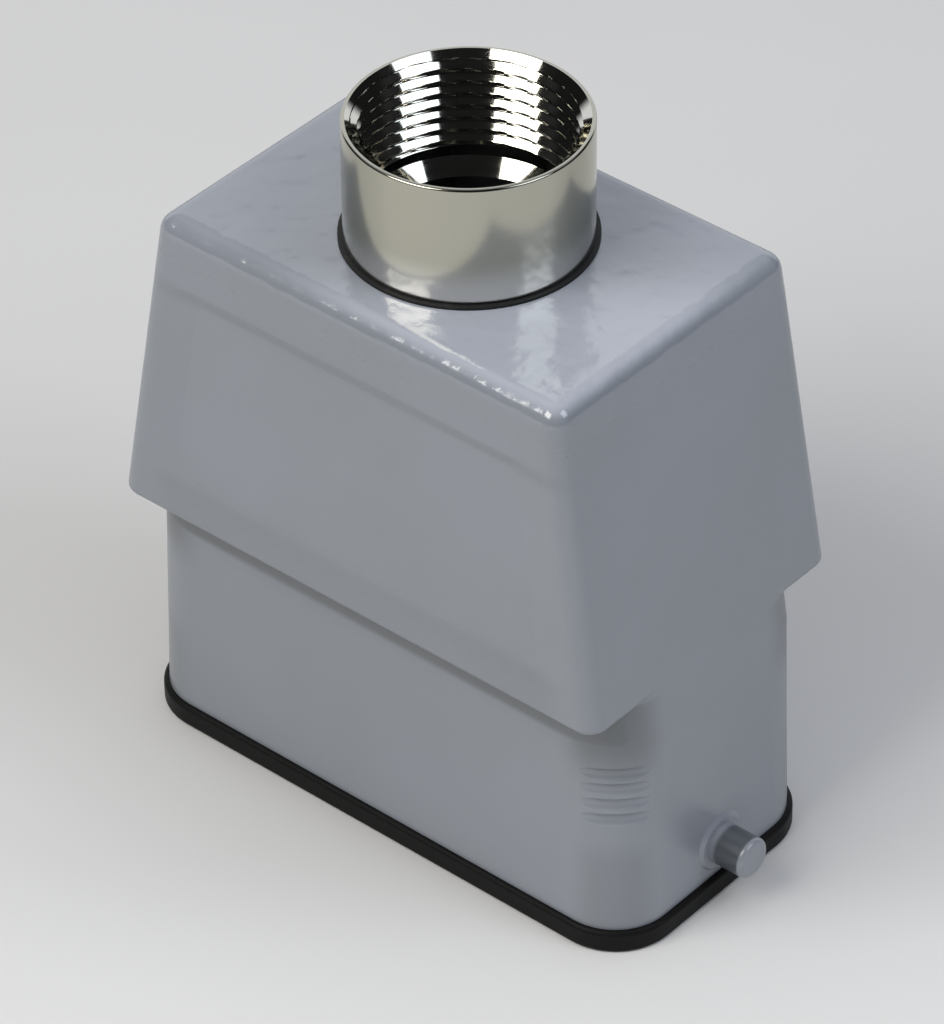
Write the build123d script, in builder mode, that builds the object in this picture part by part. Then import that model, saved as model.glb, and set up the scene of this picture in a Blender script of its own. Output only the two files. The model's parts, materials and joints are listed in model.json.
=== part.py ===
from build123d import *
import os

# Heavy duty rectangular connector: a die-cast hood with a threaded cable entry on top, and the male
# contact insert screwed inside it. Millimetres, +Z up. The origin is the centre of the underside of
# the gasket, +X runs along the hood to one end, and -Y is the front long side.

os.makedirs("parts", exist_ok=True)

# Gaps between pieces
fit_gap = 0.05
screw_gap = 0.15
tool_gap = 0.8
overrun = 1.0

# Contacts: two rows of pins, each with a screw terminal at its rear end
contacts_per_row = 5
contact_pitch = 8.0
row_spacing = 8.0
pin_diameter = 2.5
pin_recess = 3.0
pin_tip_round = 0.9
neck_diameter = 4.0
wire_hole_diameter = 3.2
wire_hole_depth = 6.6
wire_funnel = 0.5
terminal_wall = 1.2
terminal_height = 8.5

# Terminal screws, driven from the long sides of the insert
terminal_screw_diameter = 2.9
terminal_head_step = 0.45
terminal_head_height = 1.5
terminal_screw_drop = 3.4
terminal_screw_reach = 0.3
terminal_slot_width = 0.6
terminal_slot_depth = 0.7
driver_gap = 0.3

# Insert body: flange, shroud round the pins, and rear block round the terminals
insert_wall = 2.35
insert_corner = 1.6
floor_thickness = 5.0
flange_thickness = 3.2
flange_margin = 3.4
flange_end_margin = 1.35
flange_corner = 3.2
terminal_recess = 0.5
flange_to_neck = 1.5
shroud_wall = 1.5
shroud_recess = 2.2
key_width = 2.4
key_depth = 1.0

# Fixing screws and spring washers, one at each corner of the insert
fixing_row_spacing = 16.0
fixing_diameter = 3.0
fixing_head_step = 1.25
fixing_head_height = 2.2
fixing_reach = 7.0
fixing_slot_width = 0.8
fixing_slot_depth = 1.1
fixing_head_round = 0.4
washer_step = 0.15
washer_thickness = 0.8
washer_split = 0.6

# Protective earth contacts, one at each end of the insert
earth_plate_thickness = 1.0
earth_plate_inset = 0.5
earth_plate_corner = 1.2
earth_blade_thickness = 1.0
earth_blade_width = 6.4
earth_blade_length = 12.5
earth_blade_chamfer = 1.2
earth_wire_diameter = 3.4
earth_wire_depth = 7.4
earth_wire_offset = 0.4
earth_block_wall = 1.0
earth_block_side = 0.9
earth_block_height = 9.2
earth_screw_diameter = 3.4
earth_screw_drop = 3.3
earth_head_step = 0.8
earth_head_height = 1.4
earth_slot_width = 0.8
earth_slot_depth = 0.7

# Gasket in a groove of the rim
gasket_height = 2.6
gasket_proud = 0.6
gasket_edge_round = 0.5
gasket_rib_width = 1.2
gasket_rib_height = 1.6

# Hood casting: skirt, overhanging shoulder block, end walls that lean in from the bend to the top
hood_wall = 2.75
roof_thickness = 2.8
insert_clearance = 0.8
insert_depth = 21.4
skirt_corner = 6.4
bend_rise = 2.5
ledge_rise = 3.9
skirt_taper_length = 1.3
skirt_taper_width = 0.4
shoulder_overhang = 3.55
shoulder_height = 35.8
shoulder_taper_width = 2.2
end_lean = 6.25
edge_round = 2.1
ledge_round = 0.8
cavity_corner = 1.2
boss_side_gap = 0.35
boss_earth_gap = 1.4
boss_crown = 1.0
tapped_spare = 2.0

# Shallow panel in each long side, with a clear edge along the top and gentler ones elsewhere
panel_depth = 0.42
panel_top_margin = 7.0
panel_bottom_margin = 3.65
panel_side_margin = 2.6
panel_top_slope = 1.4
panel_bottom_slope = 1.7
panel_side_slope = 4.0
panel_corner = 1.8
panel_corner_growth = 2.0

# Grooves round two opposite corners of the skirt
groove_count = 4
groove_pitch = 1.9
groove_round = 1.0
groove_depth = 0.42
groove_bend = 11.0
groove_sweep = 46.0
groove_turn = 48.0
groove_rise = 14.1

# Locking pegs, cast on both ends, each on a low round pad
peg_diameter = 4.4
peg_length = 4.5
peg_round = 0.6
peg_root = 1.4
peg_pad_margin = 1.1
peg_pad_height = 0.3
peg_pad_slope = 0.4
peg_pad_rise = 0.1

# Cable entry: collar with an inner thread, its spigot in the roof and the seal under it
thread_crest_diameter = 21.2
thread_length = 10.9
thread_lead_chamfer = 1.2
relief_depth = 0.7
relief_height = 1.3
collar_wall = 0.95
collar_floor = 1.0
collar_rim_chamfer = 0.15
collar_foot_chamfer = 0.2
spigot_step = 0.75
spigot_wall = 1.5
spigot_setback = 0.2
seat_cone_height = 1.65
seal_thickness = 0.3
seal_proud = 0.5
entry_boss_wall = 2.6
entry_boss_depth = 9.2

# Contacts and screws, worked out from what passes through them
terminal_side = wire_hole_diameter + 2 * terminal_wall
terminal_head_diameter = terminal_screw_diameter + 2 * terminal_head_step
fixing_head_diameter = fixing_diameter + 2 * fixing_head_step
washer_diameter = fixing_head_diameter - 2 * washer_step
fixing_length = washer_thickness + earth_plate_thickness + flange_thickness + fixing_reach
tapped_depth = fixing_reach + tapped_spare
earth_head_diameter = earth_screw_diameter + 2 * earth_head_step
earth_block_length = earth_wire_diameter + 2 * earth_block_wall
earth_block_width = earth_head_diameter + 2 * earth_block_side

# Insert outline, worked out from the contacts
body_length = contact_pitch * (contacts_per_row - 1) + terminal_side + 2 * (fit_gap + insert_wall)
body_width = row_spacing + terminal_side + 2 * (fit_gap + insert_wall)
fixing_x = body_length / 2 + tool_gap + fixing_head_diameter / 2
fixing_y = fixing_row_spacing / 2
earth_block_x = body_length / 2 + fit_gap + screw_gap + earth_block_length / 2
flange_length = 2 * (earth_block_x + earth_block_length / 2 + flange_end_margin)
flange_width = 2 * (fixing_y + flange_margin)

# Cable entry, worked out from the thread outwards
relief_diameter = thread_crest_diameter + 2 * relief_depth
collar_diameter = relief_diameter + 2 * collar_wall
collar_height = thread_length + relief_height + collar_floor
spigot_diameter = collar_diameter - 2 * spigot_step
spigot_bore_diameter = spigot_diameter - 2 * spigot_wall
spigot_length = seal_thickness + entry_boss_depth - spigot_setback
seal_diameter = collar_diameter + 2 * seal_proud

# Heights above the underside of the gasket
skirt_straight = insert_depth + bend_rise
skirt_height = skirt_straight + ledge_rise
rim_z = gasket_height
boss_face_z = rim_z + insert_depth
bend_z = rim_z + skirt_straight
ledge_z = rim_z + skirt_height
top_z = ledge_z + shoulder_height
collar_foot_z = top_z + seal_thickness
collar_top_z = collar_foot_z + collar_height
flange_under_z = boss_face_z - flange_thickness
terminal_foot_z = boss_face_z - flange_to_neck
socket_floor_z = terminal_foot_z - floor_thickness
terminal_top_z = terminal_foot_z + terminal_height
rear_top_z = terminal_top_z + terminal_recess
shroud_end_z = shroud_recess
washer_top_z = flange_under_z - earth_plate_thickness
fixing_seat_z = washer_top_z - washer_thickness
peg_z = rim_z + peg_pad_rise + peg_pad_slope + peg_pad_margin + peg_diameter / 2

# Hood outline, worked out from the insert that it holds
bend_length = flange_length + 2 * (insert_clearance + hood_wall)
rim_length = bend_length + skirt_taper_length
bend_width = flange_width + 2 * (insert_clearance + hood_wall)
rim_width = bend_width + skirt_taper_width


def hood_length_at(z):
    """Length over the leaning end walls at height z, from the bend up."""
    return bend_length - 2 * end_lean * (z - bend_z) / (top_z - bend_z)


def shoulder_width_at(z):
    """Width over the long sides of the shoulder block at height z."""
    return bend_width + 2 * shoulder_overhang - shoulder_taper_width * (z - ledge_z) / shoulder_height


def skirt_length_at(z):
    """Length of the skirt at height z, below the bend."""
    return rim_length - skirt_taper_length * (z - rim_z) / skirt_straight


def skirt_width_at(z):
    """Width of the skirt at height z, below the bend."""
    return rim_width - skirt_taper_width * (z - rim_z) / skirt_straight


# The skirt runs a little way up inside the shoulder block, so that the ends stay flush
skirt_top_z = ledge_z + ledge_round + hood_wall
skirt_levels = [
    (rim_z, rim_length, rim_width),
    (bend_z, bend_length, bend_width),
    (skirt_top_z, hood_length_at(skirt_top_z), bend_width),
]

contact_places = [
    ((column - (contacts_per_row - 1) / 2) * contact_pitch, side * row_spacing / 2, side)
    for side in (-1, 1)
    for column in range(contacts_per_row)
]
fixing_places = [(end * fixing_x, side * fixing_y) for end in (-1, 1) for side in (-1, 1)]

# Shoulder block: rounded along its uprights and its top, less round along the ledge
with BuildPart() as shoulder_block:
    with BuildSketch(Plane.XY.offset(ledge_z)):
        Rectangle(hood_length_at(ledge_z), shoulder_width_at(ledge_z))
    with BuildSketch(Plane.XY.offset(top_z)):
        Rectangle(hood_length_at(top_z), shoulder_width_at(top_z))
    loft(ruled=True)
    ledge_edges = shoulder_block.edges().group_by(Axis.Z)[0]
    fillet(shoulder_block.edges() - ledge_edges, radius=edge_round)
    fillet(shoulder_block.faces().sort_by(Axis.Z)[0].edges(), radius=ledge_round)

# Outer shape of the casting: skirt and shoulder block together
with BuildPart() as hood_outside:
    for level_z, level_length, level_width in skirt_levels:
        with BuildSketch(Plane.XY.offset(level_z)):
            RectangleRounded(level_length, level_width, skirt_corner)
    loft(ruled=True)
    add(shoulder_block.part)

# Cavity, less the four bosses that the insert is screwed to and the boss round the cable entry.
# Each insert boss fills its corner, from just clear of the insert body and of the earth block.
boss_inner_x = body_length / 2 + boss_side_gap
boss_inner_y = earth_block_width / 2 + boss_earth_gap
with BuildPart() as cavity:
    for level_z, level_length, level_width in skirt_levels:
        with BuildSketch(Plane.XY.offset(level_z)):
            RectangleRounded(level_length - 2 * hood_wall, level_width - 2 * hood_wall, skirt_corner - hood_wall)
    loft(ruled=True)
    for level_z in (ledge_z + hood_wall, top_z - roof_thickness):
        with BuildSketch(Plane.XY.offset(level_z)):
            RectangleRounded(
                hood_length_at(level_z) - 2 * hood_wall,
                shoulder_width_at(level_z) - 2 * hood_wall,
                cavity_corner,
            )
    loft(ruled=True)
    with BuildSketch(Plane.XY.offset(boss_face_z)):
        with GridLocations(boss_inner_x + rim_length, boss_inner_y + rim_width, 2, 2):
            Rectangle(rim_length - boss_inner_x, rim_width - boss_inner_y)
    extrude(amount=tapped_depth + boss_crown, mode=Mode.SUBTRACT)
    with BuildSketch(Plane.XY.offset(top_z)):
        Circle(spigot_diameter / 2 + fit_gap + entry_boss_wall)
    extrude(amount=-entry_boss_depth, mode=Mode.SUBTRACT)

# Grooves that wrap a corner of the skirt, one above the other, on two opposite corners.
# Each is bent less than its corner is, so it runs out at both ends.
groove_offset = skirt_corner + groove_round - groove_depth - groove_bend
with BuildPart() as corner_grooves:
    for step in range(groove_count):
        groove_z = rim_z + groove_rise + step * groove_pitch
        corner_x = skirt_length_at(groove_z) / 2 - skirt_corner
        corner_y = skirt_width_at(groove_z) / 2 - skirt_corner
        with Locations(
            Location((corner_x, -corner_y, groove_z), (0, 0, -groove_turn)),
            Location((-corner_x, corner_y, groove_z), (0, 0, 180 - groove_turn)),
        ):
            with Locations((groove_offset, 0, 0)):
                Torus(
                    groove_bend,
                    groove_round,
                    major_angle=groove_sweep,
                    rotation=(0, 0, -groove_sweep / 2),
                    align=None,
                )

# Shallow panels, cut square to the leaning long sides. Each cutter widens from the foot of the
# panel's edge (share 0) through the surface of the long side (share 1) to as far outside it again.
long_side_drop = (shoulder_width_at(ledge_z) - shoulder_width_at(top_z)) / 2
panel_outline_shares = (0, 2)
with BuildPart() as side_panels:
    for side in (-1, 1):
        face_plane = Plane(
            origin=(0, side * shoulder_width_at(ledge_z) / 2, ledge_z),
            x_dir=(-side, 0, 0),
            z_dir=(0, side * shoulder_height, long_side_drop),
        )
        for share in panel_outline_shares:
            low = panel_bottom_margin + (1 - share) * panel_bottom_slope
            high = shoulder_height - panel_top_margin - (1 - share) * panel_top_slope
            side_margin = panel_side_margin + (1 - share) * panel_side_slope
            low_half = hood_length_at(ledge_z + low) / 2 - side_margin
            high_half = hood_length_at(ledge_z + high) / 2 - side_margin
            with BuildSketch(face_plane.offset((share - 1) * panel_depth)) as panel_sketch:
                with BuildLine():
                    Polyline(
                        (-low_half, low),
                        (low_half, low),
                        (high_half, high),
                        (-high_half, high),
                        close=True,
                    )
                make_face()
                fillet(panel_sketch.vertices(), radius=panel_corner + share * panel_corner_growth)
        loft(ruled=True)

# Locking pegs, each turned in one with a low round pad whose edge slopes into the wall
peg_foot = skirt_length_at(peg_z) / 2
peg_pad_radius = peg_diameter / 2 + peg_pad_margin
with BuildPart() as locking_pegs:
    for end in (-1, 1):
        with BuildSketch(Plane.XZ):
            with BuildLine():
                Polyline(
                    (end * (peg_foot - peg_root), peg_z),
                    (end * (peg_foot - peg_root), peg_z + peg_pad_radius + peg_pad_slope),
                    (end * (peg_foot - peg_pad_height), peg_z + peg_pad_radius + peg_pad_slope),
                    (end * (peg_foot + peg_pad_height), peg_z + peg_pad_radius - peg_pad_slope),
                    (end * (peg_foot + peg_pad_height), peg_z + peg_diameter / 2),
                    (end * (peg_foot + peg_length), peg_z + peg_diameter / 2),
                    (end * (peg_foot + peg_length), peg_z),
                    close=True,
                )
            make_face()
        revolve(axis=Axis((0, 0, peg_z), (1, 0, 0)))
    for tip in (locking_pegs.faces().sort_by(Axis.X)[0], locking_pegs.faces().sort_by(Axis.X)[-1]):
        fillet(tip.edges(), radius=peg_round)

# Hood casting, in one piece with its pegs and bosses
with BuildPart() as hood_shell:
    add(hood_outside.part)
    add(cavity.part, mode=Mode.SUBTRACT)
    add(side_panels.part, mode=Mode.SUBTRACT)
    add(corner_grooves.part, mode=Mode.SUBTRACT)
    add(locking_pegs.part)
    with BuildSketch(Plane.XY.offset(rim_z)):
        RectangleRounded(
            rim_length - hood_wall + gasket_rib_width + 2 * fit_gap,
            rim_width - hood_wall + gasket_rib_width + 2 * fit_gap,
            skirt_corner - (hood_wall - gasket_rib_width) / 2 + fit_gap,
        )
        RectangleRounded(
            rim_length - hood_wall - gasket_rib_width - 2 * fit_gap,
            rim_width - hood_wall - gasket_rib_width - 2 * fit_gap,
            skirt_corner - (hood_wall + gasket_rib_width) / 2 - fit_gap,
            mode=Mode.SUBTRACT,
        )
    extrude(amount=gasket_rib_height + fit_gap, mode=Mode.SUBTRACT)
    with BuildSketch(Plane.XY.offset(top_z + overrun)):
        Circle(spigot_diameter / 2 + fit_gap)
    extrude(amount=-(overrun + entry_boss_depth + overrun), mode=Mode.SUBTRACT)
    with BuildSketch(Plane.XY.offset(boss_face_z)):
        with Locations(*fixing_places):
            Circle(fixing_diameter / 2 + fit_gap)
    extrude(amount=tapped_depth, mode=Mode.SUBTRACT)
hood_shell.part.label = "hood_shell"
export_step(hood_shell.part, "parts/hood_shell.step")

# Gasket: a flat ring, proud of the rim all round, with a rib up in the rim's groove
with BuildPart() as hood_gasket:
    with BuildSketch():
        RectangleRounded(rim_length + 2 * gasket_proud, rim_width + 2 * gasket_proud, skirt_corner + gasket_proud)
        RectangleRounded(
            rim_length - 2 * hood_wall,
            rim_width - 2 * hood_wall,
            skirt_corner - hood_wall,
            mode=Mode.SUBTRACT,
        )
    extrude(amount=gasket_height)
    outer_wires = [hood_gasket.faces().sort_by(Axis.Z)[place].outer_wire() for place in (0, -1)]
    fillet(outer_wires[0].edges() + outer_wires[1].edges(), radius=gasket_edge_round)
    with BuildSketch(Plane.XY.offset(gasket_height)):
        RectangleRounded(
            rim_length - hood_wall + gasket_rib_width,
            rim_width - hood_wall + gasket_rib_width,
            skirt_corner - (hood_wall - gasket_rib_width) / 2,
        )
        RectangleRounded(
            rim_length - hood_wall - gasket_rib_width,
            rim_width - hood_wall - gasket_rib_width,
            skirt_corner - (hood_wall + gasket_rib_width) / 2,
            mode=Mode.SUBTRACT,
        )
    extrude(amount=gasket_rib_height)
hood_gasket.part.label = "hood_gasket"
export_step(hood_gasket.part, "parts/hood_gasket.step")

# Entry adapter: collar above the roof, threaded inside, and spigot down through the roof.
# The profile runs up the bore, over a conical seat and a relief to the mouth, then down the outside.
relief_z = collar_top_z - thread_length - relief_height
with BuildPart() as entry_adapter:
    with BuildSketch(Plane.XZ):
        with BuildLine():
            Polyline(
                (spigot_bore_diameter / 2, collar_foot_z - spigot_length),
                (spigot_bore_diameter / 2, relief_z - seat_cone_height),
                (relief_diameter / 2, relief_z),
                (relief_diameter / 2, relief_z + relief_height),
                (thread_crest_diameter / 2, relief_z + relief_height),
                (thread_crest_diameter / 2, collar_top_z - thread_lead_chamfer),
                (thread_crest_diameter / 2 + thread_lead_chamfer, collar_top_z),
                (collar_diameter / 2 - collar_rim_chamfer, collar_top_z),
                (collar_diameter / 2, collar_top_z - collar_rim_chamfer),
                (collar_diameter / 2, collar_foot_z + collar_foot_chamfer),
                (collar_diameter / 2 - collar_foot_chamfer, collar_foot_z),
                (spigot_diameter / 2, collar_foot_z),
                (spigot_diameter / 2, collar_foot_z - spigot_length),
                close=True,
            )
        make_face()
    revolve(axis=Axis.Z)
entry_adapter.part.label = "entry_adapter"
export_step(entry_adapter.part, "parts/entry_adapter.step")

# Seal ring between the collar and the roof
with BuildPart() as adapter_seal:
    with BuildSketch(Plane.XY.offset(top_z)):
        Circle(seal_diameter / 2)
        Circle(spigot_diameter / 2 + fit_gap, mode=Mode.SUBTRACT)
    extrude(amount=seal_thickness)
adapter_seal.part.label = "adapter_seal"
export_step(adapter_seal.part, "parts/adapter_seal.step")

# Insert body: one moulding that holds the pins, with a shroud round them and a key at one end
with BuildPart() as insert_body:
    with BuildSketch(Plane.XY.offset(flange_under_z)):
        RectangleRounded(flange_length, flange_width, flange_corner)
    extrude(amount=flange_thickness)
    with BuildSketch(Plane.XY.offset(shroud_end_z)):
        RectangleRounded(body_length, body_width, insert_corner)
    extrude(amount=rear_top_z - shroud_end_z)
    with BuildSketch(Plane.XY.offset(shroud_end_z)):
        RectangleRounded(body_length - 2 * shroud_wall, body_width - 2 * shroud_wall, insert_corner / 2)
        with Locations((body_length / 2 - shroud_wall, 0)):
            Rectangle(2 * key_depth, key_width, mode=Mode.SUBTRACT)
    extrude(amount=socket_floor_z - shroud_end_z, mode=Mode.SUBTRACT)
    with BuildSketch(Plane.XY.offset(terminal_foot_z)):
        with GridLocations(contact_pitch, row_spacing, contacts_per_row, 2):
            Rectangle(terminal_side + 2 * fit_gap, terminal_side + 2 * fit_gap)
    extrude(amount=rear_top_z - terminal_foot_z, mode=Mode.SUBTRACT)
    with BuildSketch(Plane.XY.offset(socket_floor_z)):
        with GridLocations(contact_pitch, row_spacing, contacts_per_row, 2):
            Circle(neck_diameter / 2 + fit_gap)
    extrude(amount=floor_thickness, mode=Mode.SUBTRACT)
    for side in (-1, 1):
        driver_plane = Plane(
            origin=(0, side * row_spacing / 2, terminal_top_z - terminal_screw_drop),
            x_dir=(1, 0, 0),
            z_dir=(0, side, 0),
        )
        with BuildSketch(driver_plane):
            with GridLocations(contact_pitch, 0, contacts_per_row, 1):
                Circle(terminal_head_diameter / 2 + driver_gap)
        extrude(amount=body_width / 2, mode=Mode.SUBTRACT)
    with BuildSketch(Plane.XY.offset(flange_under_z)):
        with Locations(*fixing_places):
            Circle(fixing_diameter / 2 + screw_gap)
        with Locations((-earth_block_x, 0), (earth_block_x, 0)):
            Rectangle(earth_block_length + 2 * fit_gap, earth_block_width + 2 * fit_gap)
    extrude(amount=flange_thickness, mode=Mode.SUBTRACT)
insert_body.part.label = "insert_body"
export_step(insert_body.part, "parts/insert_body.step")

# Contacts: pin, neck and square terminal with a hole down it for the wire
screw_z = terminal_top_z - terminal_screw_drop
for number, (contact_x, contact_y, side) in enumerate(contact_places, start=1):
    with BuildPart() as contact:
        with BuildSketch(Plane.XY.offset(terminal_foot_z)):
            with Locations((contact_x, contact_y)):
                Rectangle(terminal_side, terminal_side)
        extrude(amount=terminal_height)
        with BuildSketch(Plane.XY.offset(terminal_foot_z)):
            with Locations((contact_x, contact_y)):
                Circle(neck_diameter / 2)
        extrude(amount=-floor_thickness)
        with BuildSketch(Plane.XY.offset(socket_floor_z)):
            with Locations((contact_x, contact_y)):
                Circle(pin_diameter / 2)
        extrude(amount=-(socket_floor_z - shroud_end_z - pin_recess))
        fillet(contact.faces().sort_by(Axis.Z)[0].edges(), radius=pin_tip_round)
        with BuildSketch(Plane.XY.offset(terminal_top_z)):
            with Locations((contact_x, contact_y)):
                Circle(wire_hole_diameter / 2)
        extrude(amount=-wire_hole_depth, mode=Mode.SUBTRACT)
        wire_mouth = contact.faces().sort_by(Axis.Z)[-1].inner_wires()[0]
        chamfer(wire_mouth.edges(), length=wire_funnel)
        with BuildSketch(Plane(origin=(contact_x, contact_y, screw_z), z_dir=(0, side, 0))):
            Circle(terminal_screw_diameter / 2 + fit_gap)
        extrude(amount=terminal_side, mode=Mode.SUBTRACT)
    contact.part.label = f"contact_{number}"
    export_step(contact.part, f"parts/contact_{number}.step")

# Terminal screws: slotted, with the tip just inside the wire hole
with BuildPart() as terminal_screws:
    for contact_x, contact_y, side in contact_places:
        tip_y = contact_y + side * (wire_hole_diameter / 2 - terminal_screw_reach)
        seat_y = contact_y + side * terminal_side / 2
        with BuildSketch(Plane(origin=(contact_x, tip_y, screw_z), z_dir=(0, side, 0))):
            Circle(terminal_screw_diameter / 2)
        extrude(amount=abs(seat_y - tip_y))
        with BuildSketch(Plane(origin=(contact_x, seat_y, screw_z), z_dir=(0, side, 0))):
            Circle(terminal_head_diameter / 2)
        extrude(amount=terminal_head_height)
        head_y = seat_y + side * terminal_head_height
        with BuildSketch(Plane(origin=(contact_x, head_y, screw_z), z_dir=(0, -side, 0))):
            Rectangle(2 * terminal_head_diameter, terminal_slot_width)
        extrude(amount=terminal_slot_depth, mode=Mode.SUBTRACT)
terminal_screws.part.label = "terminal_screws"
export_step(terminal_screws.part, "parts/terminal_screws.step")

# Protective earth contacts: plate under the flange, blade down and terminal block up
earth_plate_length = (flange_length - body_length) / 2 - screw_gap - earth_plate_inset
earth_plate_width = flange_width - 2 * earth_plate_inset
earth_plate_x = body_length / 2 + screw_gap + earth_plate_length / 2
earth_top_z = flange_under_z + earth_block_height
earth_screw_z = earth_top_z - earth_screw_drop
for end, name in ((-1, "earth_contact_left"), (1, "earth_contact_right")):
    with BuildPart() as earth_contact:
        with BuildSketch(Plane.XY.offset(flange_under_z)):
            with Locations((end * earth_plate_x, 0)):
                RectangleRounded(earth_plate_length, earth_plate_width, earth_plate_corner)
            with Locations((end * fixing_x, -fixing_y), (end * fixing_x, fixing_y)):
                Circle(fixing_diameter / 2 + screw_gap, mode=Mode.SUBTRACT)
        extrude(amount=-earth_plate_thickness)
        with BuildSketch(Plane.XY.offset(flange_under_z)):
            with Locations((end * earth_block_x, 0)):
                Rectangle(earth_block_length, earth_block_width)
        extrude(amount=earth_block_height)
        with BuildSketch(Plane.XY.offset(washer_top_z)):
            with Locations((end * earth_block_x, 0)):
                Rectangle(earth_blade_thickness, earth_blade_width)
        extrude(amount=-earth_blade_length)
        blade_tip = earth_contact.faces().sort_by(Axis.Z)[0].edges().filter_by(Axis.X)
        chamfer(blade_tip, length=earth_blade_chamfer)
        with BuildSketch(Plane.XY.offset(earth_top_z)):
            with Locations((end * (earth_block_x - earth_wire_offset), 0)):
                Circle(earth_wire_diameter / 2)
        extrude(amount=-earth_wire_depth, mode=Mode.SUBTRACT)
        with BuildSketch(Plane(origin=(end * earth_block_x, 0, earth_screw_z), z_dir=(end, 0, 0))):
            Circle(earth_screw_diameter / 2 + fit_gap)
        extrude(amount=earth_block_length, mode=Mode.SUBTRACT)
    earth_contact.part.label = name
    export_step(earth_contact.part, f"parts/{name}.step")

# Earth terminal screws, driven from the ends
with BuildPart() as earth_screws:
    for end in (-1, 1):
        tip_x = end * (earth_block_x - earth_wire_offset + earth_wire_diameter / 2 - terminal_screw_reach)
        seat_x = end * (earth_block_x + earth_block_length / 2)
        with BuildSketch(Plane(origin=(tip_x, 0, earth_screw_z), z_dir=(end, 0, 0))):
            Circle(earth_screw_diameter / 2)
        extrude(amount=abs(seat_x - tip_x))
        with BuildSketch(Plane(origin=(seat_x, 0, earth_screw_z), z_dir=(end, 0, 0))):
            Circle(earth_head_diameter / 2)
        extrude(amount=earth_head_height)
        head_x = seat_x + end * earth_head_height
        with BuildSketch(Plane(origin=(head_x, 0, earth_screw_z), z_dir=(-end, 0, 0))):
            Rectangle(earth_slot_width, 2 * earth_head_diameter)
        extrude(amount=earth_slot_depth, mode=Mode.SUBTRACT)
earth_screws.part.label = "earth_screws"
export_step(earth_screws.part, "parts/earth_screws.step")

# Fixing screws: up through washer, earth plate and flange into the bosses of the hood
with BuildPart() as fixing_screws:
    with BuildSketch(Plane.XY.offset(fixing_seat_z)):
        with Locations(*fixing_places):
            Circle(fixing_head_diameter / 2)
    extrude(amount=-fixing_head_height)
    head_faces = fixing_screws.faces().group_by(Axis.Z)[0]
    fillet(head_faces.edges(), radius=fixing_head_round)
    with BuildSketch(Plane.XY.offset(fixing_seat_z)):
        with Locations(*fixing_places):
            Circle(fixing_diameter / 2)
    extrude(amount=fixing_length)
    with BuildSketch(Plane.XY.offset(fixing_seat_z - fixing_head_height)):
        with Locations(*fixing_places):
            Rectangle(2 * fixing_head_diameter, fixing_slot_width)
    extrude(amount=fixing_slot_depth, mode=Mode.SUBTRACT)
fixing_screws.part.label = "fixing_screws"
export_step(fixing_screws.part, "parts/fixing_screws.step")

# Spring washers: split rings under the heads of the fixing screws
with BuildPart() as spring_washers:
    with BuildSketch(Plane.XY.offset(fixing_seat_z)):
        with Locations(*fixing_places):
            Circle(washer_diameter / 2)
            Circle(fixing_diameter / 2 + screw_gap, mode=Mode.SUBTRACT)
        for fixing_place_x, fixing_place_y in fixing_places:
            with Locations((fixing_place_x, fixing_place_y + washer_diameter / 2)):
                Rectangle(washer_split, washer_diameter, mode=Mode.SUBTRACT)
    extrude(amount=washer_thickness)
spring_washers.part.label = "spring_washers"
export_step(spring_washers.part, "parts/spring_washers.step")
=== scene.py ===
# %% [markdown]
# # A connector hood with a threaded cable entry
# The object is the hood of a heavy duty rectangular connector: a painted die casting on a black rim
# gasket, with a nickel-plated collar on its roof and a male insert screwed inside. The imported model
# already has every piece in its place, so this script only adds what a CAD model doesn't carry:
# finishes, the thread in the collar, a floor, soft light and a camera.

# %% Load the imported model
import json
import math

import bpy
from mathutils import Matrix, Vector


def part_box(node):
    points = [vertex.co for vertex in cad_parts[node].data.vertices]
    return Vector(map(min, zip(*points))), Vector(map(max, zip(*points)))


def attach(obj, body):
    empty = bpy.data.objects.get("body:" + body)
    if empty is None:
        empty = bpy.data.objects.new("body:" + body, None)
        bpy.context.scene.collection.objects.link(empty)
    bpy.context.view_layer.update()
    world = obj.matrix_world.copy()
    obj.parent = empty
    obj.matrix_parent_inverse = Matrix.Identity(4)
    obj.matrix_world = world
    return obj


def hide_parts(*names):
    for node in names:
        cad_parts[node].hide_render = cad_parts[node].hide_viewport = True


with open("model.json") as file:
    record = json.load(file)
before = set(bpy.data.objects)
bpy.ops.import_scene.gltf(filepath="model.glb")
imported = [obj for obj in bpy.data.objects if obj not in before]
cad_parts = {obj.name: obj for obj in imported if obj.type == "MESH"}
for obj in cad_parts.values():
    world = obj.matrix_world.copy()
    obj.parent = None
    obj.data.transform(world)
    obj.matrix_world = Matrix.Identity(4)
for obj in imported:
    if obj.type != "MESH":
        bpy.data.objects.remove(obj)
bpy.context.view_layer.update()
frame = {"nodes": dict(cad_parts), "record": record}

MM = 0.001
nodes = frame["nodes"]

# %% [markdown]
# ## The camera
# A long lens far away flattens an object, and a short one spreads it. Straight edges of the hood were
# followed in the photograph to find how far away it was taken: about 0.6 m, with a long lens, from
# above the front right corner. Azimuth is counted from the front long side towards the right end.

# %% Camera at the photograph's angle
VIEW_AZIMUTH = 40.82
VIEW_ELEVATION = 38.21
VIEW_ROLL = -0.55
VIEW_DISTANCE = 0.5916
VIEW_TARGET = Vector((0.0, 0.0, 0.0319))
LENS = 207.9


def direction(azimuth, elevation):
    """Unit vector from the object towards a place round it, in degrees."""
    turn, rise = math.radians(azimuth), math.radians(elevation)
    return Vector((math.sin(turn) * math.cos(rise), -math.cos(turn) * math.cos(rise), math.sin(rise)))


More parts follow.
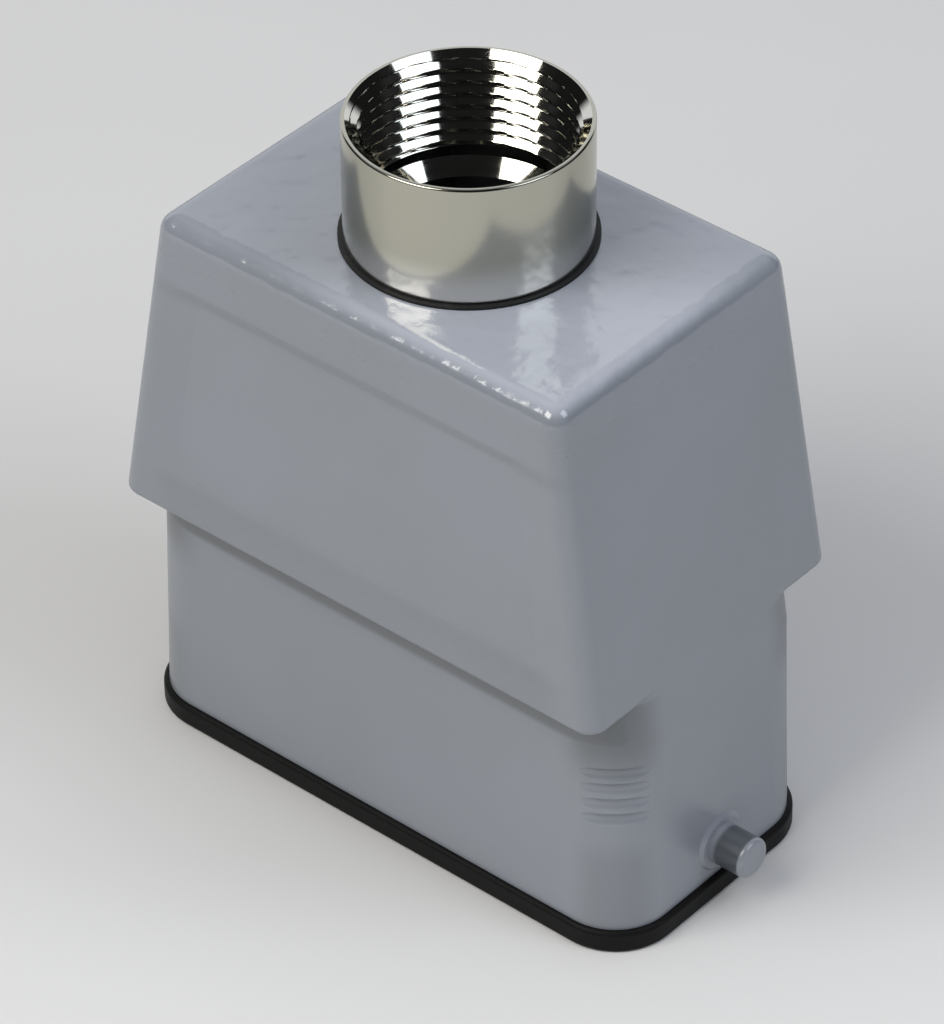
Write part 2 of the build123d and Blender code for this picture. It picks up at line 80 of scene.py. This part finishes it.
def aim(thing, place, target, roll=0.0):
    """Puts a camera or lamp at place, looking at target."""
    thing.location = place
    looking = (target - place).to_track_quat("-Z", "Y").to_matrix().to_4x4()
    thing.rotation_euler = (looking @ Matrix.Rotation(math.radians(roll), 4, "Z")).to_euler()


camera_data = bpy.data.cameras.new("camera")
camera_data.lens = LENS
camera_data.clip_start = 0.05
camera = bpy.data.objects.new("camera", camera_data)
bpy.context.collection.objects.link(camera)
aim(camera, VIEW_TARGET + direction(VIEW_AZIMUTH, VIEW_ELEVATION) * VIEW_DISTANCE, VIEW_TARGET, VIEW_ROLL)
bpy.context.scene.camera = camera
print("camera stands", round(VIEW_DISTANCE, 3), "m away, lens", LENS, "mm")

# %% [markdown]
# ## Shader maths that reads like arithmetic
# Every finish below is made of small patterns that are added, scaled and mixed. Blender does this
# with Math nodes, one for each sign. A small class lets Python write those nodes, so a line such as
# `mask * 0.3 + 0.2` stays readable. Colours never go through a Math node, which would turn them grey.


# %% A socket that can be added and multiplied
class Wire:
    """The output of a node. Sums with it add Math nodes to the same tree."""

    def __init__(self, home, output):
        self.home = home
        self.output = output

    def sum(self, operation, first, second):
        return self.home.node("ShaderNodeMath", {"operation": operation}, {0: first, 1: second})

    def __add__(self, other):
        return self.sum("ADD", self, other)

    def __radd__(self, other):
        return self.sum("ADD", other, self)

    def __sub__(self, other):
        return self.sum("SUBTRACT", self, other)

    def __rsub__(self, other):
        return self.sum("SUBTRACT", other, self)

    def __mul__(self, other):
        return self.sum("MULTIPLY", self, other)

    def __rmul__(self, other):
        return self.sum("MULTIPLY", other, self)


class Tree:
    """A node tree being built."""

    def __init__(self, tree):
        self.tree = tree

    def feed(self, socket, value):
        """Links a wire to a socket, or sets the socket's own value."""
        if isinstance(value, Wire):
            self.tree.links.new(value.output, socket)
        else:
            socket.default_value = value

    def node(self, kind, settings, inputs, output=0):
        """Adds a node: its settings first, then what its sockets take."""
        made = self.tree.nodes.new(kind)
        for setting, value in settings.items():
            setattr(made, setting, value)
        for name, value in inputs.items():
            self.feed(made.inputs[name], value)
        return Wire(self, made.outputs[output])

    def noise(self, place, scale, detail=2.0, roughness=0.5, distortion=0.0):
        """Cloudy pattern from 0 to 1, with scale in waves per millimetre."""
        return self.node(
            "ShaderNodeTexNoise",
            {},
            {
                "Vector": place,
                "Scale": scale,
                "Detail": detail,
                "Roughness": roughness,
                "Distortion": distortion,
            },
        )

    def ramp(self, value, low, high, from_value=0.0, to_value=1.0):
        """Value stretched so that low gives from_value and high gives to_value, and kept between."""
        return self.node(
            "ShaderNodeMapRange",
            {"interpolation_type": "SMOOTHSTEP"},
            {"Value": value, "From Min": low, "From Max": high, "To Min": from_value, "To Max": to_value},
        )

    def band(self, value, start, full, still_full, end):
        """Mask that rises from start to full and falls again from still_full to end."""
        return self.ramp(value, start, full) - self.ramp(value, still_full, end)

    def reach(self, place, way):
        """How far a place lies in one direction from the middle."""
        return self.node("ShaderNodeVectorMath", {"operation": "DOT_PRODUCT"}, {0: place, 1: way}, "Value")

    def mix(self, factor, first, second):
        """One colour where factor is 0 and the other where it is 1."""
        mixer = self.tree.nodes.new("ShaderNodeMix")
        mixer.data_type = "RGBA"
        for slot, value in ((0, factor), (6, first), (7, second)):
            self.feed(mixer.inputs[slot], value)
        return Wire(self, mixer.outputs[2])


class Finish(Tree):
    """A material being built, with the object's own coordinates in millimetres as self.place."""

    def __init__(self, name):
        self.material = bpy.data.materials.new(name)
        self.material.use_nodes = True
        super().__init__(self.material.node_tree)
        self.shader = self.tree.nodes["Principled BSDF"]
        coordinates = self.node("ShaderNodeTexCoord", {}, {}, "Object")
        self.place = self.node(
            "ShaderNodeVectorMath", {"operation": "SCALE"}, {"Vector": coordinates, "Scale": 1 / MM}
        )

    def axis(self, name):
        """One coordinate of the place, in millimetres."""
        return self.node("ShaderNodeSeparateXYZ", {}, {"Vector": self.place}, name)

    def size_of(self, name):
        """How far the place is from the middle along one axis, either way, in millimetres."""
        return self.node("ShaderNodeMath", {"operation": "ABSOLUTE"}, {0: self.axis(name)})

    def bump(self, height, depth_mm, before=None):
        """Turns a height pattern into a normal. The depth is in millimetres for a height of 1."""
        inputs = {"Height": height, "Strength": 1.0, "Distance": depth_mm * MM}
        if before:
            inputs["Normal"] = before
        return self.node("ShaderNodeBump", {}, inputs)

    def surface(self, **inputs):
        """Sets the shader's sockets, with underscores for the spaces in their names."""
        for name, value in inputs.items():
            self.feed(self.shader.inputs[name.replace("_", " ")], value)
        return self.material


def grey(level, warmth=0.0):
    """A near-neutral colour, a little warmer or cooler."""
    return (level * (1 + warmth), level, level * (1 - warmth), 1.0)


print("shader helpers ready")

# %% [markdown]
# ## Floor
# The photograph stands the hood on a pale sheet that fills the whole view. A plain plane does, as
# long as it is wide enough for other views. Its colour is a touch uneven, as paper is. On top of that
# it carries painted light, paler towards the near side, and painted shade, a greyer band behind the hood.


# %% Pale floor
NEAR = direction(VIEW_AZIMUTH, 0)
SIDE = direction(VIEW_AZIMUTH + 90, 0)


def pale_floor():
    """A wide plane under the object, which counts as stage and not as a piece of it."""
    half = 1.5
    mesh = bpy.data.meshes.new("floor")
    corners = [(-half, -half, 0), (half, -half, 0), (half, half, 0), (-half, half, 0)]
    mesh.from_pydata(corners, [], [(0, 1, 2, 3)])
    floor = bpy.data.objects.new("floor", mesh)
    bpy.context.collection.objects.link(floor)
    finish = Finish("floor_paper")
    cloud = finish.noise(finish.place, 0.01, detail=3.0)
    colour = finish.mix(finish.ramp(cloud, 0.3, 0.7), (0.676, 0.669, 0.661, 1), (0.696, 0.689, 0.681, 1))
    nearness = finish.reach(finish.place, NEAR)
    sideways = finish.reach(finish.place, SIDE)
    # Painted shade: a greyer band behind the hood, deeper towards the right.
    painted_shade_band = finish.band(nearness, -100, -50, -30, 10) * finish.ramp(sideways, 0, 60, 0.5, 0.7)
    colour = finish.mix(painted_shade_band, colour, (0.615, 0.605, 0.595, 1))
    # Painted light: the sheet is paler towards the near side.
    colour = finish.mix(finish.ramp(nearness, 12, 42), colour, (0.755, 0.747, 0.738, 1))
    floor.data.materials.append(finish.surface(Base_Color=colour, Roughness=0.7, Specular_IOR_Level=0.2))
    return floor


floor = pale_floor()
print("floor is", round(floor.dimensions.x, 2), "m wide")

# %% [markdown]
# ## Light
# The streaks in the collar tell where the lamps were. Each turn of the thread is a small mirror that
# leans back, so a bright band 20 to 40 degrees off the middle of the bore means a lamp 40 to 80
# degrees to that side of the camera. There is one on each side, and nothing bright between them,
# because the middle of the bore is black. The left one is the wider and the stronger. Its far edge
# just reaches the rounded top edge of the hood, which glints at its near end only.
#
# A lamp's strength is written as its share of the light on a surface that faces it. A share of 1
# makes a white surface just white, and turning that into watts takes the distance squared.

# %% Two soft boxes
LAMP_DISTANCE = 0.9
LAMP_TARGET = Vector((0, 0, 0.06))
LAMP_ELEVATION = 47
LAMP_HALF_HEIGHT = 14


def soft_box(name, azimuth, half_width, share, colour):
    """A lamp that faces the object. Its half width is an angle as seen from there."""
    lamp = bpy.data.lights.new(name, "AREA")
    lamp.shape = "RECTANGLE"
    lamp.size = 2 * LAMP_DISTANCE * math.tan(math.radians(half_width))
    lamp.size_y = 2 * LAMP_DISTANCE * math.tan(math.radians(LAMP_HALF_HEIGHT))
    lamp.energy = share * math.pi**2 * LAMP_DISTANCE**2
    lamp.color = colour
    box = bpy.data.objects.new(name, lamp)
    bpy.context.collection.objects.link(box)
    aim(box, LAMP_TARGET + direction(azimuth, LAMP_ELEVATION) * LAMP_DISTANCE, LAMP_TARGET)
    print(name, round(lamp.size, 2), "by", round(lamp.size_y, 2), "m,", round(lamp.energy, 2), "W")


soft_box("soft_box_left", VIEW_AZIMUTH - 57, 16.5, 0.585, (1.0, 0.975, 0.91))
soft_box("soft_box_right", VIEW_AZIMUTH + 64, 12.5, 0.235, (0.84, 0.91, 1.0))

# %% [markdown]
# ## The room
# Rays that spread from a dull surface find a soft light overhead, which brightens what faces up and
# fills the shadows. Mirrored rays find what stood there: a white sheet that rises behind the object,
# a little of the ceiling above it, and a dark room to the sides and behind the camera. The camera
# itself sees a pale sheet wherever the floor ends.


# %% White sheet, dark room
def build_room(overhead, fill, seen_sheet, sheet, dark):
    """A world with one strength for spread light, one for mirrored rays and one for the camera."""
    world = bpy.data.worlds.new("room")
    world.use_nodes = True
    bpy.context.scene.world = world
    room = Tree(world.node_tree)
    towards = room.node("ShaderNodeTexCoord", {}, {}, "Generated")
    height = room.node("ShaderNodeSeparateXYZ", {}, {"Vector": towards}, "Z")
    behind = room.reach(towards, -NEAR)
    spread = fill + overhead * height * height
    on_sheet = room.ramp(behind, 0.60, 0.74) * room.ramp(height - behind * 0.6, 0.16, 0.30, 1.0, 0.0)
    ceiling = room.ramp(behind, -0.1, 0.5) * room.ramp(height, 0.55, 0.80) * 0.45
    mirrored = dark + ceiling + on_sheet * (sheet - ceiling - dark)
    glossy = room.node("ShaderNodeLightPath", {}, {}, "Is Glossy Ray")
    seen = room.node("ShaderNodeLightPath", {}, {}, "Is Camera Ray")
    strength = spread + glossy * (mirrored - spread) + seen * (seen_sheet - spread)
    background = world.node_tree.nodes["Background"]
    background.inputs["Color"].default_value = (0.955, 0.98, 1.04, 1.0)
    room.feed(background.inputs["Strength"], strength)


build_room(overhead=0.95, fill=0.03, seen_sheet=0.72, sheet=0.95, dark=0.012)
bpy.context.scene.view_settings.view_transform = "Standard"
print("room ready")

# %% [markdown]
# ## Paint on the casting
# The hood is die-cast aluminium with a glossy blue-grey coat. The coat has a fine peel, and under it
# the casting is a little wavy. Both are strongest round the top, where they break the shine of the
# lamps into glints. Lower down the coat is duller. A pale bluish painted sheen lies on the near part
# of the roof. Painted shade lies under the shoulder, round the corners there and at their foot, along
# the edges of the panel on each long side, and on the flanks of the pegs. Each of these is a mask
# made of heights and distances from the middle, in millimetres.


# %% Blue-grey coat
PEG_HEIGHT = 6.4
# Colours of the painted shade on the panel edges, under the shoulder and on the pegs' flanks, and of the
# painted light on the near roof.
PANEL_CREASE_SHADE = (0.195, 0.212, 0.240, 1)
SHOULDER_SHADE = (0.130, 0.140, 0.150, 1)
PEG_FLANK_SHADE = (0.085, 0.094, 0.108, 1)
ROOF_SHEEN = (0.420, 0.442, 0.502, 1)


def panel_crease_shade(finish, height, along, across):
    """Painted shade: faint dark lines along the upper and the lower edge of the panel on each long side, and
    a band below it.
    """
    low_edge = finish.band(height, 32.6, 34.6, 34.8, 36.6)
    top_edge = finish.band(height, 57.0, 58.3, 58.5, 59.8)
    under_panel = finish.ramp(height, 34.6, 36.0, 1.0, 0.0) * finish.ramp(height, 28.5, 30.0)
    on_panel = finish.ramp(across, 15.6, 16.2) * finish.ramp(along, 23.5, 27.5, 1.0, 0.0)
    return (low_edge * 0.25 + under_panel * 0.3 + top_edge * 0.42) * on_panel


def shoulder_shade(finish, height, along, across):
    """Painted shade on the skirt: in the crease under the shoulder, and on the corners high up and at the
    foot.
    """
    on_skirt = finish.ramp(height, 30.2, 30.4, 1.0, 0.0)
    under_shoulder = finish.ramp(height, 25.2, 26.2) * finish.ramp(across, 10.0, 13.0) * 0.85
    at_corner = finish.ramp(height, 19.5, 26.0) * finish.ramp(along, 23.0, 27.5)
    at_foot = finish.ramp(height, 10.5, 14.5, 1.0, 0.0) * finish.ramp(along, 24.5, 28.5)
    high_corner = at_corner * finish.ramp(across, 7.5, 12.0) * 0.7
    corners = high_corner + at_foot * finish.ramp(across, 9.0, 12.5) * 0.3
    shade = finish.node("ShaderNodeMath", {"operation": "MAXIMUM"}, {0: under_shoulder, 1: corners})
    return shade * on_skirt


def peg_flank_shade(finish, height, along, across):
    """Painted shade round the outer part of each peg, but not on its end face."""
    rise = height - PEG_HEIGHT
    near_peg = finish.ramp(across * across + rise * rise, 5.0, 5.6, 1.0, 0.0)
    return finish.band(along, 32.9, 33.5, 36.0, 36.2) * near_peg


def hood_paint():
    """The coat's two tones, then painted shade and painted light over them, then the waves and the shine."""
    finish = Finish("hood_paint")
    cloud = finish.ramp(finish.noise(finish.place, 0.045, detail=3.0), 0.35, 0.65)
    colour = finish.mix(cloud, (0.254, 0.275, 0.310, 1), (0.268, 0.288, 0.330, 1))
    height, along, across = finish.axis("Z"), finish.size_of("X"), finish.size_of("Y")
    # Painted shade over the coat's tones, then painted light on the roof.
    colour = finish.mix(panel_crease_shade(finish, height, along, across), colour, PANEL_CREASE_SHADE)
    colour = finish.mix(shoulder_shade(finish, height, along, across), colour, SHOULDER_SHADE)
    colour = finish.mix(peg_flank_shade(finish, height, along, across), colour, PEG_FLANK_SHADE)
    # Painted light: a pale bluish sheen on the near part of the roof.
    dust_and_sheen = finish.ramp(height, 65.2, 66.1) * finish.ramp(finish.reach(finish.place, NEAR), 3.0, 16.0)
    colour = finish.mix(dust_and_sheen * 0.9, colour, ROOF_SHEEN)
    top = finish.ramp(height, 61.0, 65.0, 0.03, 1.0)
    wave = finish.noise(finish.place, 0.35, detail=1.0)
    peel = finish.noise(finish.place, 1.1, detail=2.0)
    normal = finish.bump(wave * top, 0.16)
    normal = finish.bump(peel * top, 0.03, before=normal)
    roughness = finish.ramp(finish.noise(finish.place, 0.3), 0.3, 0.7, 0.11, 0.16) + (1.0 - top) * 0.17
    return finish.surface(Base_Color=colour, Roughness=roughness, Normal=normal, Specular_IOR_Level=1.0)


# %% [markdown]
# ## Nickel plate
# The collar is turned brass with nickel on it, a warm grey metal. Inside, the thread is cut smooth
# and stays bright. Outside the plate is duller and darker, less dull on the rounded edge of the rim,
# and paler round the foot, where a painted reflection lies, so the finish goes by the distance from
# the collar's axis and by the height. The lathe leaves very fine rings.


# %% Nickel on turned brass
def nickel_plate():
    """Bright inside the collar, duller and darker outside, with the rim's edge less dull and a painted
    reflection that makes the foot pale.
    """
    finish = Finish("nickel_plate")
    across = finish.node("ShaderNodeVectorMath", {"operation": "MULTIPLY"}, {0: finish.place, 1: (1, 1, 0)})
    radius = finish.node("ShaderNodeVectorMath", {"operation": "LENGTH"}, {0: across}, "Value")
    outside = finish.ramp(radius, 11.78, 11.84)
    height = finish.axis("Z")
    foot_reflection = finish.ramp(height, 66.6, 71.5, 1.0, 0.0) * outside
    edge = finish.ramp(height, 79.35, 79.5)
    stretched = finish.node("ShaderNodeMapping", {}, {"Vector": finish.place, "Scale": (0.05, 0.05, 4.0)})
    rings = finish.noise(stretched, 1.0, detail=3.0)
    haze = finish.noise(finish.place, 0.15, detail=2.0)
    colour = finish.mix(haze, (0.59, 0.58, 0.52, 1), (0.65, 0.64, 0.575, 1))
    # Darker outside, except round the foot, where a painted reflection makes the plate pale.
    colour = finish.mix(outside * 0.7 - foot_reflection * 0.6, colour, (0.40, 0.39, 0.315, 1))
    colour = finish.mix(foot_reflection * 0.7, colour, (0.86, 0.84, 0.80, 1))
    return finish.surface(
        Base_Color=colour,
        Metallic=1.0,
        Roughness=finish.ramp(rings, 0.3, 0.7, 0.05, 0.07) + outside * (0.12 - edge * 0.06),
        Normal=finish.bump(rings * outside, 0.0008),
    )


# %% [markdown]
# ## Rubber, plastic and the small metals
# The gasket and the seal are dull black rubber. The insert is a pale moulding with a fine grain. The
# contacts are silver plated, the earth contacts tinned, and the screws zinc plated.


# %% Finishes for the small pieces
def black_rubber(name, level):
    """Dull black with a little dust in its grain."""
    finish = Finish(name)
    dust_and_sheen = finish.ramp(finish.noise(finish.place, 0.6, detail=4.0), 0.5, 0.85)
    colour = finish.mix(dust_and_sheen, grey(level), grey(level * 2))
    grain = finish.noise(finish.place, 4.0, detail=2.0)
    return finish.surface(
        Base_Color=colour,
        Roughness=0.5 + dust_and_sheen * 0.15,
        Normal=finish.bump(grain, 0.01),
        Specular_IOR_Level=0.15,
    )


def insert_plastic():
    """Pale moulding, cloudy and finely grained."""
    finish = Finish("insert_plastic")
    cloud = finish.noise(finish.place, 0.08, detail=2.0)
    colour = finish.mix(cloud, (0.40, 0.40, 0.385, 1), (0.44, 0.44, 0.42, 1))
    grain = finish.noise(finish.place, 5.0, detail=2.0)
    return finish.surface(Base_Color=colour, Roughness=0.48 + grain * 0.1, Normal=finish.bump(grain, 0.008))


def small_metal(name, pale, dark, smooth, rough, marks):
    """A plated metal: two tones in a haze, and scratches that run marks per millimetre."""
    finish = Finish(name)
    haze = finish.noise(finish.place, 0.4, detail=3.0)
    scratches = finish.noise(finish.place, marks, detail=3.0, distortion=0.4)
    return finish.surface(
        Base_Color=finish.mix(haze, dark, pale),
        Metallic=1.0,
        Roughness=finish.ramp(scratches, 0.3, 0.7, smooth, rough),
        Normal=finish.bump(scratches, 0.003),
    )


finishes = {
    "hood_paint": hood_paint(),
    "nickel_plate": nickel_plate(),
    "gasket_rubber": black_rubber("gasket_rubber", 0.006),
    "seal_rubber": black_rubber("seal_rubber", 0.022),
    "insert_plastic": insert_plastic(),
}
for name, pale, dark, smooth, rough, marks in [
    ("contact_silver", (0.83, 0.82, 0.78, 1), (0.70, 0.68, 0.62, 1), 0.16, 0.30, 2.0),
    ("tinned_brass", (0.68, 0.67, 0.64, 1), (0.56, 0.55, 0.52, 1), 0.28, 0.42, 3.0),
    ("zinc_steel", (0.60, 0.61, 0.62, 1), (0.48, 0.49, 0.50, 1), 0.22, 0.38, 3.0),
    ("spring_steel", (0.26, 0.26, 0.27, 1), (0.16, 0.16, 0.17, 1), 0.30, 0.45, 3.0),
]:
    finishes[name] = small_metal(name, pale, dark, smooth, rough, marks)
for part in frame["record"]["subparts"]:
    shape = nodes[part["node"]]
    shape.data.materials.clear()
    shape.data.materials.append(finishes[part["material_slot"]])
print("finishes:", len(finishes))

# %% [markdown]
# ## The thread in the collar
# The inner thread is what catches the eye, because each turn throws back the lamps. It is a real
# helix here: a grid wrapped round the bore, where the radius follows the turn of the helix, so one
# function gives crest and root. The rest of the collar is the same grid carried on over the rim,
# down the outside and back through the spigot, which makes one closed skin. Its outer width and its
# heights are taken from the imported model, and the inner sizes repeat those of the part's source.

# %% Sizes of the entry adapter
TURN = 2 * math.pi
THREAD_PITCH = 25.4 / 18 * MM
THREAD_CREST = 10.6 * MM
THREAD_ROOT = 11.28 * MM
THREAD_LENGTH = 10.9 * MM
FLAT_SHARE = 0.05
LEAD_CHAMFER = 1.2 * MM
RELIEF_RADIUS = 11.3 * MM
RELIEF_HEIGHT = 1.3 * MM
BORE_RADIUS = 10.0 * MM
SEAT_HEIGHT = 1.65 * MM
SPIGOT_RADIUS = 11.5 * MM
RIM_ROUND = 0.25 * MM
FOOT_CHAMFER = 0.2 * MM
STEPS_ROUND = 288
STEPS_PER_PITCH = 28

adapter_low, adapter_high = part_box("entry_adapter")
seal_low, seal_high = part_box("adapter_seal")
collar_radius = (adapter_high[0] - adapter_low[0]) / 2
rim_z, spigot_z, foot_z = adapter_high[2], adapter_low[2], seal_high[2]
print("collar radius in mm:", round(collar_radius / MM, 2), "turns:", round(THREAD_LENGTH / THREAD_PITCH, 1))


# %% Build the threaded adapter
def thread_radius(angle, z):
    """Radius of the thread at an angle and a height: a right-hand helix with straight flanks."""
    turns = (rim_z - z) / THREAD_PITCH + angle / TURN
    phase = turns - math.floor(turns)
    ridge = 1 - abs(2 * phase - 1)
    share = min(max((ridge - FLAT_SHARE) / (1 - 2 * FLAT_SHARE), 0), 1)
    return THREAD_ROOT + (THREAD_CREST - THREAD_ROOT) * share


def thread_rings():
    """Rings up the threaded wall: at each height a radius for every angle, wider in the lead chamfer."""
    low = rim_z - THREAD_LENGTH
    count = round(THREAD_LENGTH / THREAD_PITCH * STEPS_PER_PITCH)
    rings = []
    for step in range(count + 1):
        z = low + THREAD_LENGTH * step / count
        mouth = THREAD_CREST + LEAD_CHAMFER - (rim_z - z)
        radii = [thread_radius(TURN * k / STEPS_ROUND, z) for k in range(STEPS_ROUND)]
        rings.append([(max(radius, mouth), z) for radius in radii])
    return rings


def plain_rings(profile):
    """Rings of one radius each, from a list of radius and height."""
    return [[(radius, z)] * STEPS_ROUND for radius, z in profile]


def arc(centre_radius, centre_z, radius, start, end, steps=6):
    """Points of a rounded edge, in degrees from outward."""
    angles = [math.radians(start + (end - start) * k / steps) for k in range(steps + 1)]
    return [(centre_radius + radius * math.cos(a), centre_z + radius * math.sin(a)) for a in angles]


def skin(name, rings, smooth_angle=32):
    """A closed skin over rings, each joined to the next and the last to the first."""
    points = [
        (radius * math.cos(TURN * k / STEPS_ROUND), radius * math.sin(TURN * k / STEPS_ROUND), z)
        for ring in rings
        for k, (radius, z) in enumerate(ring)
    ]
    faces = []
    for row in range(len(rings)):
        here, above = row * STEPS_ROUND, (row + 1) % len(rings) * STEPS_ROUND
        for k in range(STEPS_ROUND):
            after = (k + 1) % STEPS_ROUND
            faces.append((here + k, above + k, above + after, here + after))
    mesh = bpy.data.meshes.new(name)
    mesh.from_pydata(points, [], faces)
    mesh.set_sharp_from_angle(angle=math.radians(smooth_angle))
    piece = bpy.data.objects.new(name, mesh)
    bpy.context.collection.objects.link(piece)
    return piece


def threaded_adapter():
    """The whole entry adapter as one skin: bore, seat, thread, rim, outside and spigot."""
    relief_low = rim_z - THREAD_LENGTH - RELIEF_HEIGHT
    rings = plain_rings(
        [
            (BORE_RADIUS, spigot_z),
            (BORE_RADIUS, relief_low - SEAT_HEIGHT),
            (RELIEF_RADIUS, relief_low),
            (RELIEF_RADIUS, rim_z - THREAD_LENGTH),
        ]
    )
    rings += thread_rings()
    outside = arc(collar_radius - RIM_ROUND, rim_z - RIM_ROUND, RIM_ROUND, 90, 0)
    outside += [
        (collar_radius, foot_z + FOOT_CHAMFER),
        (collar_radius - FOOT_CHAMFER, foot_z),
        (SPIGOT_RADIUS, foot_z),
        (SPIGOT_RADIUS, spigot_z),
    ]
    return skin("threaded_adapter", rings + plain_rings(outside))


adapter = threaded_adapter()
adapter.data.materials.append(finishes["nickel_plate"])
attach(adapter, "root")
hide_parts("entry_adapter")
print("adapter has", len(adapter.data.polygons), "faces")
